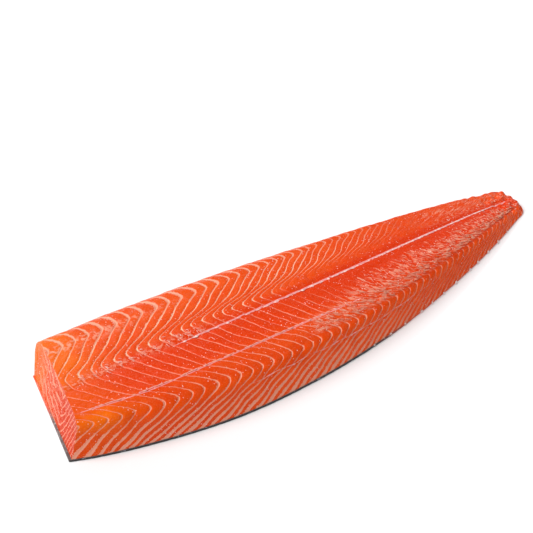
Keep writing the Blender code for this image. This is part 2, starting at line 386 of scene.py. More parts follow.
def salmon_flesh(settings):
    """Wet raw salmon: soft orange muscle that light enters, fat lines along the membranes, a wet film,
    painted glints.

    The mesh carries the flake number, so the lines are as sharp as the render: distance to the nearest
    whole number against a half width that grows from the thin top lines to the broad bands at the skin.
    Two membranes that run along the fillet are drawn the same way from their distance in millimetres.
    The knife cut has line numbers of its own in the attribute ring, used where the attribute cut is 1; its
    muscle is darkened there as painted shade.
    """
    material, tree, shader = new_material("wet raw salmon flesh")
    place = add(tree, "TexCoord", out="Object")
    flake = add(tree, "Attribute", out="Fac", attribute_name="flake")
    ring = add(tree, "Attribute", out="Fac", attribute_name="ring")
    cut = add(tree, "Attribute", out="Fac", attribute_name="cut")
    fat = add(tree, "Attribute", out="Color", attribute_name="fat")
    meat = add(tree, "Attribute", out="Color", attribute_name="meat")
    strand = add(tree, "Attribute", out="Color", attribute_name="strand")
    half, show, fluffy = add(tree, "SeparateColor", {0: fat}).node.outputs
    red, side, pale = add(tree, "SeparateColor", {0: meat}).node.outputs
    from_midline, from_near, torn = add(tree, "SeparateColor", {0: strand}).node.outputs
    creamy, warm, across_number = (layer.node.outputs["Alpha"] for layer in (fat, meat, strand))

    coarse = add(tree, "TexNoise", {"Vector": place, "Scale": 1 / (16.0 * MM)})
    fine = add(tree, "TexNoise", {"Vector": place, "Scale": 1 / (3.0 * MM), "Detail": 3.0})
    grain = add(tree, "TexNoise", {"Vector": place, "Scale": 1 / (1.15 * MM)})
    # Cells of the painted glint dots.
    glint_cells = add(tree, "TexVoronoi", {"Vector": place, "Scale": 1 / (3.3 * MM)})

    # The lines: the flake number, pushed about by three sizes of noise, and its distance to a whole number.
    # On the cut its own line number is taken as it is.
    number = add(tree, "Mix", {0: cut, 2: flake, 3: ring})
    bent = add(tree, "Math", {0: coarse, 1: 0.12, 2: flake}, operation="MULTIPLY_ADD")
    bent = add(tree, "Math", {0: fine, 1: 0.15, 2: bent}, operation="MULTIPLY_ADD")
    bent = add(tree, "Math", {0: grain, 1: 0.13, 2: bent}, operation="MULTIPLY_ADD")
    bent = add(tree, "Math", {0: bent, 1: -0.20}, operation="ADD")
    bent = add(tree, "Mix", {0: cut, 2: bent, 3: ring})
    to_line = add(tree, "Math", {0: bent, 1: 0.5}, operation="PINGPONG")
    wide = add(tree, "Math", {0: grain, 1: 1.5, 2: 0.25}, operation="MULTIPLY_ADD")
    wide = add(tree, "Math", {0: half, 1: wide}, operation="MULTIPLY")
    past = add(tree, "Math", {0: to_line, 1: wide}, operation="SUBTRACT")
    line = add(tree, "MapRange", {0: past, 1: 0.03, 2: -0.025}, interpolation_type="SMOOTHSTEP")
    line = add(tree, "Math", {0: line, 1: show}, operation="MULTIPLY")
    patch = add(tree, "MapRange", {0: fine, 1: 0.47, 2: 0.60}, interpolation_type="SMOOTHSTEP")
    fluff = add(tree, "Math", {0: fluffy, 1: patch}, operation="MULTIPLY")
    line = add(tree, "Math", {0: line, 1: fluff}, operation="MAXIMUM")

    # Torn muscle: streaks that follow the flakes, one stretch of noise to a third of a flake.
    over = add(tree, "Math", {0: number, 1: 3.1}, operation="MULTIPLY")
    along = add(tree, "Math", {0: across_number, 1: 3.4}, operation="MULTIPLY")
    track = add(tree, "CombineXYZ", {0: over, 1: along})
    streaks = add(tree, "TexNoise", {"Vector": track, "Scale": 1.0, "Detail": 3.0})
    streak = add(tree, "MapRange", {0: streaks, 1: 0.50, 2: 0.62}, interpolation_type="SMOOTHSTEP")
    streak = add(tree, "Math", {0: streak, 1: torn}, operation="MULTIPLY")
    line = add(tree, "Math", {0: line, 1: streak}, operation="MAXIMUM")

    muscle = add(tree, "Mix", {0: red, 6: settings.orange, 7: settings.red}, out=2, data_type="RGBA")
    muscle = add(tree, "Mix", {0: warm, 6: muscle, 7: settings.warm}, out=2, data_type="RGBA")
    muscle = add(tree, "Mix", {0: side, 6: muscle, 7: settings.side}, out=2, data_type="RGBA")
    mottle = add(tree, "MapRange", {0: coarse, 1: 0.35, 2: 0.65, 4: 0.3}, interpolation_type="SMOOTHSTEP")
    muscle = add(tree, "Mix", {0: mottle, 6: muscle, 7: settings.red}, out=2, data_type="RGBA")
    # Painted shade on the knife cut: the muscle there is mixed towards a darker colour, more towards the near
    # side, to dim the face that the key light falls full on.
    deep = add(tree, "Math", {0: cut, 1: red}, operation="MULTIPLY")
    muscle = add(tree, "Mix", {0: deep, 6: muscle, 7: settings.deep}, out=2, data_type="RGBA")
    cloudy = add(tree, "Math", {0: pale, 1: 0.14}, operation="ADD")
    specks = add(tree, "MapRange", {0: grain, 1: 0.50, 2: 0.72}, interpolation_type="SMOOTHSTEP")
    specks = add(tree, "Math", {0: specks, 1: cloudy}, operation="MULTIPLY")
    muscle = add(tree, "Mix", {0: specks, 6: muscle, 7: settings.pink}, out=2, data_type="RGBA")
    fat_colour = add(tree, "Mix", {0: creamy, 6: settings.pink, 7: settings.cream}, out=2, data_type="RGBA")
    colour = add(tree, "Mix", {0: line, 6: muscle, 7: fat_colour}, out=2, data_type="RGBA")
    wavy = add(tree, "Math", {0: fine, 1: 0.8, 2: -0.4}, operation="MULTIPLY_ADD")
    for distance, width in ((from_midline, 0.65), (from_near, 0.40)):
        off = add(tree, "Math", {0: distance, 1: wavy}, operation="ADD")
        off = add(tree, "Math", {0: off}, operation="ABSOLUTE")
        band = {0: off, 1: width + 0.4, 2: width - 0.35, 4: 0.9}
        band = add(tree, "MapRange", band, interpolation_type="SMOOTHSTEP")
        colour = add(tree, "Mix", {0: band, 6: colour, 7: settings.membrane}, out=2, data_type="RGBA")
    # Painted glints: bright dots about half a millimetre across in place of highlights on beads of moisture,
    # more of them where the flesh is torn; wet sets how many.
    wet = add(tree, "Math", {0: coarse, 1: 0.30, 2: -0.01}, operation="MULTIPLY_ADD")
    wet = add(tree, "Math", {0: torn, 1: 0.08, 2: wet}, operation="MULTIPLY_ADD")
    glint_mask = add(tree, "Math", {0: wet, 1: glint_cells}, operation="SUBTRACT")
    glint_mask = add(tree, "MapRange", {0: glint_mask, 1: 0.0, 2: 0.06, 4: 0.75}, interpolation_type="SMOOTHSTEP")
    colour = add(tree, "Mix", {0: glint_mask, 6: colour, 7: settings.pale_tissue_and_glint}, out=2, data_type="RGBA")

    shine = add(tree, "Math", {0: grain, 1: 0.25, 2: 0.16}, operation="MULTIPLY_ADD")
    lumps = add(tree, "Math", {0: fine, 1: 0.8}, operation="MULTIPLY")
    lumps = add(tree, "Math", {0: grain, 1: 0.30, 2: lumps}, operation="MULTIPLY_ADD")
    ridges = add(tree, "Math", {0: streaks, 1: torn}, operation="MULTIPLY")
    lumps = add(tree, "Math", {0: ridges, 1: 1.8, 2: lumps}, operation="MULTIPLY_ADD")
    bump = add(tree, "Bump", {"Strength": 0.7, "Distance": 0.0009, "Height": lumps})
    wire(tree, shader, {
        "Base Color": colour, "Roughness": shine, "Normal": bump, "Coat Normal": bump, "IOR": 1.36,
        "Specular IOR Level": 0.12, "Subsurface Weight": 0.12, "Subsurface Radius": (1.0, 0.30, 0.16),
        "Subsurface Scale": 0.0018, "Coat Weight": 0.06, "Coat Roughness": 0.05, "Coat IOR": 1.33})
    return material


def wet_membrane(name, first, second):
    """Connective membrane: thin and milky, shiny and wet, in patches of two colours."""
    material, tree, shader = new_material(name)
    place = add(tree, "TexCoord", out="Object")
    patch = add(tree, "TexNoise", {"Vector": place, "Scale": 1 / (2.5 * MM)})
    patch = add(tree, "MapRange", {0: patch, 1: 0.40, 2: 0.62}, interpolation_type="SMOOTHSTEP")
    colour = {0: patch, 6: first, 7: second}
    colour = add(tree, "Mix", colour, out=2, data_type="RGBA")
    rough = add(tree, "Math", {0: patch, 1: 0.2, 2: 0.22}, operation="MULTIPLY_ADD")
    wire(tree, shader, {
        "Base Color": colour, "Roughness": rough, "IOR": 1.38, "Specular IOR Level": 0.4,
        "Coat Weight": 0.3, "Coat Roughness": 0.12})
    return material


def torn_muscle(settings):
    """Torn muscle fibre: orange muscle with pink patches, glistening wet."""
    material, tree, shader = new_material("torn wet salmon muscle")
    place = add(tree, "TexCoord", out="Object")
    patch = add(tree, "TexNoise", {"Vector": place, "Scale": 1 / (4.0 * MM), "Detail": 3.0})
    patch = add(tree, "MapRange", {0: patch, 1: 0.34, 2: 0.56}, interpolation_type="SMOOTHSTEP")
    colour = {0: patch, 6: settings.side, 7: settings.pink}
    colour = add(tree, "Mix", colour, out=2, data_type="RGBA")
    rough = add(tree, "Math", {0: patch, 1: 0.15, 2: 0.16}, operation="MULTIPLY_ADD")
    wire(tree, shader, {
        "Base Color": colour, "Roughness": rough, "IOR": 1.36, "Specular IOR Level": 0.4,
        "Coat Weight": 0.3, "Coat Roughness": 0.08})
    return material


def fish_skin(settings):
    """Wet fish skin: black spotted back, silver flank with a net of scales, pale belly, two-tone cut rim."""
    material, tree, shader = new_material("wet salmon skin")
    place = add(tree, "TexCoord", out="Object")
    side = add(tree, "Attribute", out="Fac", attribute_name="flank")
    rim = add(tree, "Attribute", out="Fac", attribute_name="rim")
    tail = add(tree, "Attribute", out="Fac", attribute_name="tail")
    wave = add(tree, "TexNoise", {"Vector": place, "Scale": 1 / (22.0 * MM), "Detail": 3.0})
    wave = add(tree, "Math", {0: wave, 1: 0.22, 2: -0.11}, operation="MULTIPLY_ADD")
    where = add(tree, "Math", {0: wave, 1: side}, operation="ADD")
    stretched = add(tree, "Mapping", {0: place, 3: (0.62, 1.0, 1.0)})
    scales = {"Vector": stretched, "Scale": 1 / (3.4 * MM), "Randomness": 0.6}
    scales = add(tree, "TexVoronoi", scales, feature="DISTANCE_TO_EDGE")
    net = add(tree, "MapRange", {0: scales, 1: 0.16, 2: 0.03, 4: 0.45}, interpolation_type="SMOOTHSTEP")
    spots = add(tree, "TexVoronoi", {"Vector": stretched, "Scale": 1 / (9.0 * MM)})
    spots = add(tree, "MapRange", {0: spots, 1: 0.36, 2: 0.24}, interpolation_type="SMOOTHSTEP")
    spotted = add(tree, "MapRange", {0: where, 1: 0.52, 2: 0.36}, interpolation_type="SMOOTHSTEP")
    spots = add(tree, "Math", {0: spots, 1: spotted}, operation="MULTIPLY")
    back = add(tree, "MapRange", {0: where, 1: 0.42, 2: 0.16}, interpolation_type="SMOOTHSTEP")
    belly = add(tree, "MapRange", {0: where, 1: 0.66, 2: 0.92}, interpolation_type="SMOOTHSTEP")
    colour = add(tree, "Mix", {0: back, 6: settings.silver, 7: settings.back}, out=2, data_type="RGBA")
    colour = add(tree, "Mix", {0: belly, 6: colour, 7: settings.belly}, out=2, data_type="RGBA")
    colour = add(tree, "Mix", {0: net, 6: colour, 7: settings.back}, out=2, data_type="RGBA")
    colour = add(tree, "Mix", {0: spots, 6: colour, 7: settings.spot}, out=2, data_type="RGBA")

    # The cut rim: pale fat over black skin with silver flecks, and a film of flesh over both at the tail.
    fleck = add(tree, "TexNoise", {"Vector": place, "Scale": 1 / (2.6 * MM)})
    fleck = add(tree, "MapRange", {0: fleck, 1: 0.60, 2: 0.68, 4: 0.35}, interpolation_type="SMOOTHSTEP")
    level = add(tree, "SeparateXYZ", {0: place}, out=2)
    layer = {0: level, 1: 1.4 * MM, 2: 1.8 * MM, 4: 0.3}
    layer = add(tree, "MapRange", layer, interpolation_type="SMOOTHSTEP")
    edge = add(tree, "Mix", {0: layer, 6: settings.spot, 7: settings.rim}, out=2, data_type="RGBA")
    edge = add(tree, "Mix", {0: fleck, 6: edge, 7: settings.silver}, out=2, data_type="RGBA")
    edge = add(tree, "Mix", {0: tail, 6: edge, 7: settings.side}, out=2, data_type="RGBA")
    colour = add(tree, "Mix", {0: rim, 6: colour, 7: edge}, out=2, data_type="RGBA")
    inner = add(tree, "Math", {0: 1.0, 1: rim}, operation="SUBTRACT")
    pale = add(tree, "Math", {0: 1.0, 1: back}, operation="SUBTRACT")
    metal = add(tree, "Math", {0: inner, 1: pale}, operation="MULTIPLY")
    metal = add(tree, "Math", {0: metal, 1: 0.45}, operation="MULTIPLY")
    rough = add(tree, "Math", {0: net, 1: 0.45, 2: 0.28}, operation="MULTIPLY_ADD")
    bump = add(tree, "Bump", {"Strength": 0.6, "Distance": 0.0004, "Height": scales})
    wire(tree, shader, {
        "Base Color": colour, "Metallic": metal, "Roughness": rough, "Normal": bump,
        "Coat Weight": 0.12, "Coat Roughness": 0.15})
    return material


def skin_scrap(settings):
    """A curled scrap of skin: silver and milky in small patches, wet."""
    material, tree, shader = new_material("silver skin scrap")
    place = add(tree, "TexCoord", out="Object")
    patch = add(tree, "TexNoise", {"Vector": place, "Scale": 1 / (1.6 * MM)})
    patch = add(tree, "MapRange", {0: patch, 1: 0.45, 2: 0.60}, interpolation_type="SMOOTHSTEP")
    colour = add(tree, "Mix", {0: patch, 6: settings.belly, 7: settings.pale_tissue_and_glint}, out=2, data_type="RGBA")
    rough = add(tree, "Math", {0: patch, 1: 0.2, 2: 0.25}, operation="MULTIPLY_ADD")
    wire(tree, shader, {"Base Color": colour, "Roughness": rough, "Coat Weight": 0.5})
    return material


def flesh_rows():
    """The across number v of each row of the flesh grid."""
    rows = [zone + j / count for zone, count in enumerate(ROWS_PER_ZONE) for j in range(count)]
    return np.array(rows + [float(len(ROWS_PER_ZONE))])


def relief(s, v, flake):
    """Millimetres along the normal: shared sink, a rounded flake between grooves, and unevenness.

    With d the distance to the nearest membrane in flakes, the groove is a bell of d, the flake's back is a
    sine of the share of the flake, and both fade to nothing at the two bottom edges.
    """
    share = flake - np.floor(flake)
    to_line = np.minimum(share, 1 - share)
    deep = bpy.context.scene.fillet.groove_depth / MM
    groove = -deep * np.exp(-((to_line / GROOVE_WIDTH) ** 2)) * (0.55 + 0.45 * smoothstep(8.2, 7.4, v))
    back = PUFF * (np.sin(np.pi * share) ** 0.8 - 1)
    flat = smoothstep(210, 330, s) * smoothstep(6.3, 5.6, v)
    groove = groove * (1 - 0.9 * flat) * (1 - 0.55 * smoothstep(90, 200, s) * smoothstep(5.6, 5.2, v))
    back = back * (1 - 0.6 * flat)
    p = surface(s, v)
    waves = UNEVEN * (ripple(s, p[..., 1], 26.0, 11) + 0.6 * ripple(s, p[..., 1], 8.0, 12) - 2.2)
    lobes = LOBES * smoothstep(495, 550, s) * (ripple(s, p[..., 1], 12.0, 13) - 1.6)
    edge = smoothstep(0.0, 0.5, v) * smoothstep(9.0, 8.7, v)
    thin = np.clip(height(s) / 24, 0.35, 1)
    return base_relief(s, v) + (groove + back + waves) * edge * thin + lobes * edge


def put_tones(mesh, s, v, flake):
    """Stores the fat lines' half width, strength and fluff, the muscle's tones and the strands' distances.

    Each is a curve over v that changes along s: top lines fade in the tail half, fluff sits at the far
    apexes and beside the hooks near the cut, and redness is strongest between midline and near line. The
    torn surface begins past s = 205 between midline and near apex, with fainter parts nearer the tail.
    """
    number = np.round(flake).astype(int)
    rng = np.random.default_rng(5)
    own = rng.uniform(0.8, 1.25, 200)[number % 200]
    lines = (0, 1, 2, 2.7, 3, 3.25, 4, 4.6, 5, 5.6, 6, 6.6, 7, 7.6, 8, 8.5, 9)
    widths = (24, 17, 13, 12, 10, 7, 6, 5, 4.5, 3.5, 4.5, 5.5, 6.5, 8, 11, 18, 26)
    half = np.interp(v, lines, widths) / 100
    toward_tail = smoothstep(230, 420, s)
    broad = smoothstep(7.6, 8.2, v) * smoothstep(300, 420, s)
    half = half * own * (1 - 0.5 * broad)
    show = np.interp(v, (0, 2, 3, 4, 4.35, 5, 5.5, 6, 6.5, 7, 8, 9),
                     (0.95, 0.95, 0.90, 0.95, 0.6, 0.45, 0.62, 0.62, 0.75, 0.85, 0.9, 0.95))
    fade = np.interp(v, (0, 2, 3, 3.5, 4, 5, 6, 6.4, 7, 9), (0.8, 0.7, 0.6, 0.7, 1, 1, 1, 0.8, 0.3, 0.4))
    show = show * (1 - fade * toward_tail) * (1 - smoothstep(380, 440, s) * smoothstep(4.4, 3.6, v))
    show = show * (1 - smoothstep(200, 262, s) * smoothstep(3.7, 3.95, v) * smoothstep(5.5, 5.1, v))
    show = show * (1 - 0.8 * smoothstep(250, 320, s) * smoothstep(5.1, 5.4, v) * smoothstep(6.2, 6.0, v))
    fluff = np.exp(-(((v - 3.05) / 0.16) ** 2)) * smoothstep(180, 60, s) * 0.8
    fluff = np.maximum(fluff, 0.6 * np.exp(-(((v - 4.6) / 0.3) ** 2)) * smoothstep(190, 110, s))
    cream = smoothstep(3.1, 3.4, v) * smoothstep(4.3, 4.0, v)
    put(mesh, "fat", np.stack([half, show, fluff, cream], axis=1))

    red = np.interp(v, (0, 2, 3, 4, 4.5, 5, 5.7, 6, 6.5, 7, 9),
                    (0.15, 0.0, 0.05, 0.3, 0.8, 0.9, 0.85, 0.5, 0.4, 0.5, 0.8))
    red = np.clip(red + 0.35 * toward_tail, 0, 1)
    side = smoothstep(6.7, 7.6, v) * (1 - 0.6 * smoothstep(210, 80, s) * smoothstep(7.6, 8.2, v))
    pale = 0.3 * smoothstep(8.8, 9.0, v)
    warm = 0.9 * smoothstep(70, 15, s) * np.interp(v, (0, 2, 4, 5, 6, 6.6, 7.6, 8.2),
                                                   (1, 1, 0.7, 0.3, 0.4, 1, 1, 0.3))
    put(mesh, "meat", np.stack([red, side * (1 - warm), pale, warm], axis=1))

    y = surface(s, v)[:, 1]
    from_midline = np.where((s > 134) & (s < 550), y - across(s, LINE_Y[5](s)), FAR_AWAY)
    from_near = np.where((s > 5) & (s < 300), y - across(s, LINE_Y[6](s)), FAR_AWAY)
    torn = smoothstep(5.45, 6.15, v + 0.3 * toward_tail) * smoothstep(6.95, 6.6, v) * smoothstep(205, 300, s)
    far_part = 0.45 * smoothstep(2.4, 3.2, v) * smoothstep(4.9, 4.4, v) * smoothstep(410, 480, s)
    tail_end = 0.35 * smoothstep(480, 530, s) * smoothstep(1.5, 3, v) * smoothstep(8, 7.2, v)
    torn = np.maximum(np.maximum(torn, far_part), tail_end)
    put(mesh, "strand", np.stack([from_midline, from_near, 0.75 * torn, v], axis=1))
    put(mesh, "flake", flake)


def cut_lines(y, z, far_y, near_y):
    """Line number on the knife cut: nested V shapes, lowest at CUT_LOW of the way to the near side.

    With a the share of the way from the far side and d the depth below the top as a share of the height,
    the number is CUT_LINES times the sum of d and k times the rounded distance of a from CUT_LOW, where k
    is CUT_RISE_FAR or CUT_RISE_NEAR. Two ripples make it uneven.
    """
    a = (far_y - y) / (far_y - near_y)
    depth = 1 - (z - BASE) / (height(0.0) - BASE)
    past = a - CUT_LOW
    rise = np.where(past > 0, CUT_RISE_NEAR, CUT_RISE_FAR) * np.sqrt(past**2 + 0.0025)
    return CUT_LINES * (depth + rise) + 0.2 * ripple(y, z, 45.0, 63) + 0.03 * ripple(y, z, 14.0, 64)


def tint(name, description, hex_colour):
    """A colour setting whose default is given in sRGB."""
    return bpy.props.FloatVectorProperty(
        name=name, description=description, size=4, default=linear(hex_colour), min=0, max=1, subtype="COLOR")


class FilletSettings(bpy.types.PropertyGroup):
    """Sizes and colours of the fillet that a user would change."""

    groove_depth: bpy.props.FloatProperty(
        name="Groove depth", description="Depth of the grooves between flakes", default=0.00055,
        min=0.0, max=0.002, subtype="DISTANCE", unit="LENGTH")
    orange: tint("Orange muscle", "Muscle colour along the far half", "#ee5612")
    warm: tint("Warm muscle", "Muscle colour next to the knife cut", "#fa7406")
    red: tint("Red muscle", "Muscle colour beside the midline", "#de3600")
    # Painted shade: a darker muscle colour that the shader lays on the knife cut, where the key light falls
    # full on it.
    deep: tint("Cut face shade", "Darker muscle colour painted on the knife cut as shade", "#c83200")
    side: tint("Side muscle", "Muscle colour on the steep near side", "#fc5402")
    pink: tint("Pink fat", "Fat lines at the edges", "#f6a88c")
    cream: tint("Cream fat", "Fat lines on the far half of the top", "#ffc8aa")
    membrane: tint("Membrane", "Membranes that run along the fillet", "#f0a6a6")
    back: tint("Skin back", "Dark skin along the back", "#4a5056")
    silver: tint("Skin flank", "Silver skin on the flank", "#c4c8d0")
    belly: tint("Skin belly", "Pale skin at the belly", "#e6dcda")
    rim: tint("Skin rim", "Pale layer between skin and flesh", "#a89690")
    spot: tint("Skin spots", "Black spots and the cut rim of the skin", "#0d0e10")
    # Painted glints: the bright dots on the flesh take this colour; membranes, tufts and skin scraps also use
    # it as a pale tissue colour.
    pale_tissue_and_glint: tint("Glints and pale tissue", "Painted glints on the flesh, and pale patches of membrane and tissue, partly painted highlight", "#ffe0d6")
    key: bpy.props.FloatProperty(
        name="Key light", description="Strength of the soft key light", default=2.8, min=0.0, max=20.0)


def grid_index(s, start, snap):
    """Vertex number of every grid point once each row is cut to the stretch from start to the tail tip.

    A point past an end takes that end's vertex. Returns the numbers, the mask of inner points, each row's
    first vertex and its count of vertices.
    """
    inside = (s > start[:, None] + snap) & (s < LENGTH - snap)
    counts = inside.sum(axis=1) + 2
    first = np.concatenate([[0], np.cumsum(counts)[:-1]])
    index = first[:, None] + np.cumsum(inside, axis=1)
    index = np.where(s >= LENGTH - snap, (first + counts - 1)[:, None], index)
    return index, inside, first, counts


def grid_faces(index):
    """Quads between neighbouring rows, as triangles where one side has shrunk to a point."""
    a, d = index[:-1, :-1].ravel(), index[1:, :-1].ravel()
    b, c = index[:-1, 1:].ravel(), index[1:, 1:].ravel()
    top, bottom = a != b, d != c
    quads = np.stack([a, d, c, b], axis=1)[top & bottom]
    left = np.stack([a, d, b], axis=1)[top & ~bottom]
    right = np.stack([a, d, c], axis=1)[~top & bottom]
    return quads.tolist() + left.tolist() + right.tolist()


class FILLET_OT_flesh(bpy.types.Operator):
    """Builds the flesh: flakes, grooves, the knife cut and the closed underside"""

    bl_idname = "fillet.flesh"
    bl_label = "Flesh"

    def execute(self, context):
        """A grid of rows v and columns along the membranes, cut off at both ends and closed.

        Each row runs from the knife cut to the tail tip. The underside joins the first and last rows, the
        cut gets rings of its own, and the tail tip is one face.
        """
        settings = context.scene.fillet
        v = flesh_rows()
        septa = septum_hooks()
        septa = septa + np.random.default_rng(2).uniform(-0.45, 0.45, len(septa))
        flake = (np.arange(len(septa) - 1)[:, None] + np.array(FLAKE_PLACES)).ravel()
        hooks = np.interp(flake, np.arange(len(septa)), septa)
        s = septum_distance(hooks[None, :], v[:, None])
        start = cut_start(v)
        index, inside, first, counts = grid_index(s, start, END_SNAP)
        total = int(counts.sum())
        all_s, all_v, all_flake = np.empty(total), np.empty(total), np.empty(total)
        all_s[index[inside]] = s[inside]
        all_flake[index[inside]] = np.broadcast_to(flake, s.shape)[inside]
        last = first + counts - 1
        all_s[first], all_s[last] = start, LENGTH
        all_flake[first] = [np.interp(x, row, flake) for x, row in zip(start, s)]
        all_flake[last] = [np.interp(LENGTH, row, flake) for row in s]
        all_v = np.repeat(v, counts)
        points = surface(all_s, all_v)
        points += normals(all_s, all_v) * relief(all_s, all_v, all_flake)[:, None]
        points[:, 2] = np.where((all_v == 0) | (all_v == v[-1]), BASE, points[:, 2])
        rim_x = CUT_PER_Y * points[first, 1] + CUT_PER_Z * points[first, 2]
        points[first, 0] = rim_x
        faces = grid_faces(index)

        # The underside, the cut and the tail tip. The cut's last face also takes in the underside's first.
        near, far = index[-1], index[0]
        strip = np.stack([near[:-1], far[:-1], far[1:], near[1:]], axis=1)
        changes = (near[:-1] != near[1:]) | (far[:-1] != far[1:])
        strip = strip[changes]
        ring, ring_faces, ring_number, share = self.cut_face(points[first], first, total)
        mouth = ring_faces.pop()
        faces += [list(dict.fromkeys(quad)) for quad in strip.tolist()[1:]]
        opening = [c for c in dict.fromkeys(strip[0].tolist()) if c not in (mouth[0], mouth[-1])]
        faces.append(opening + mouth[::-1])
        faces.append([int(c) for c in last])
        body_faces = len(faces)
        faces += ring_faces

        points = np.concatenate([points, ring])
        obj = set_mesh("fillet_flesh", points, faces, salmon_flesh(settings))
        mesh = obj.data
        self.tones(mesh, all_s, all_v, all_flake, share)
        rim_number = cut_lines(points[first, 1], points[first, 2], points[first[0], 1], points[first[-1], 1])
        body_number = np.zeros(total)
        body_number[first] = rim_number
        put(mesh, "ring", np.concatenate([body_number, ring_number]))
        is_cut = np.arange(len(mesh.polygons)) >= body_faces
        put(mesh, "cut", is_cut.astype(float), "FACE")
        mesh.set_sharp_from_angle(angle=math.radians(48))
        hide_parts("flesh")
        return {"FINISHED"}

    @staticmethod
    def tones(mesh, s, v, flake, share):
        """Tones of the body, and of the cut: orange far corner, streaked far part, redder muscle with more
        painted shade further on.

        The share is that of the way from the cut's far side to its near side.
        """
        cut = len(share)
        body = len(s)
        put_tones(mesh, np.concatenate([s, np.zeros(cut)]), np.concatenate([v, np.full(cut, 4.0)]),
                  np.concatenate([flake, np.zeros(cut)]))
        far = smoothstep(0.75, 0.3, share) * smoothstep(0.06, 0.25, share)
        warm = 0.95 * smoothstep(0.3, 0.08, share) + 0.2 * far
        # The cut's first meat channel makes its muscle redder and also sets how much painted shade the shader
        # lays on it.
        values = {
            "fat": (0.11 - 0.02 * share, 0.72 * smoothstep(0.04, 0.2, share), 0 * share, 0 * share),
            "meat": (0.15 + 0.8 * share, 0 * share, 0.45 * far, warm),
            "strand": (FAR_AWAY + 0 * share, FAR_AWAY + 0 * share, 0.5 * far, 9 * share),
        }
        for name, columns in values.items():
            data = mesh.attributes[name].data
            colours = np.empty(len(data) * 4, np.float32)
            data.foreach_get("color", colours)
            colours.reshape(-1, 4)[body:] = np.stack(columns, axis=1)
            data.foreach_set("color", colours)

    @staticmethod
    def cut_face(rim, first, total):
        """The knife cut: straight lines from each rim point to its share of the bottom edge.

        Returns the inner points, the faces with the bottom edge as the last of them, the line number of
        the inner points and their share of the way from the far corner to the near one.
        """
        length = np.concatenate([[0], np.cumsum(np.linalg.norm(np.diff(rim, axis=0), axis=1))])
        share = (length / length[-1])[1:-1]
        bottom = rim[0] + share[:, None] * (rim[-1] - rim[0])
        q = (np.arange(1, CUT_RINGS + 1) / CUT_RINGS)[:, None, None]
        inner = rim[None, 1:-1] * (1 - q) + bottom[None] * q
        shape = inner.shape[:2]
        fade = np.sin(np.pi * np.minimum(q[..., 0] * 1.1, 1)) * np.sin(np.pi * share) ** 0.5
        y, z = inner[..., 1], inner[..., 2]
        wave = sum(size * ripple(y, z, wavelength, seed) for size, wavelength, seed in CUT_ROUGH)
        inner[..., 0] += np.maximum(0.6 + wave, 0.05) * fade
        number = total + np.arange(shape[0] * shape[1]).reshape(shape)
        rows = np.concatenate([first[None, 1:-1], number])
        a, b = rows[:-1, :-1].ravel(), rows[:-1, 1:].ravel()
        d, c = rows[1:, :-1].ravel(), rows[1:, 1:].ravel()
        faces = np.stack([a, d, c, b], axis=1).tolist()
        far_corner, near_corner = int(first[0]), int(first[-1])
        for column, corner, turn in ((0, far_corner, -1), (-1, near_corner, 1)):
            side = rows[:, column]
            fan = np.stack([np.full(CUT_RINGS, corner), side[:-1], side[1:]], axis=1)
            faces += fan[:, ::turn].tolist()
        faces.append([far_corner] + rows[-1].tolist() + [near_corner])
        lines = cut_lines(y, z, rim[0, 1], rim[-1, 1])
        from_far = (rim[0, 1] - y) / (rim[0, 1] - rim[-1, 1])
        return inner.reshape(-1, 3), faces, lines.ravel(), np.clip(from_far, 0, 1).ravel()


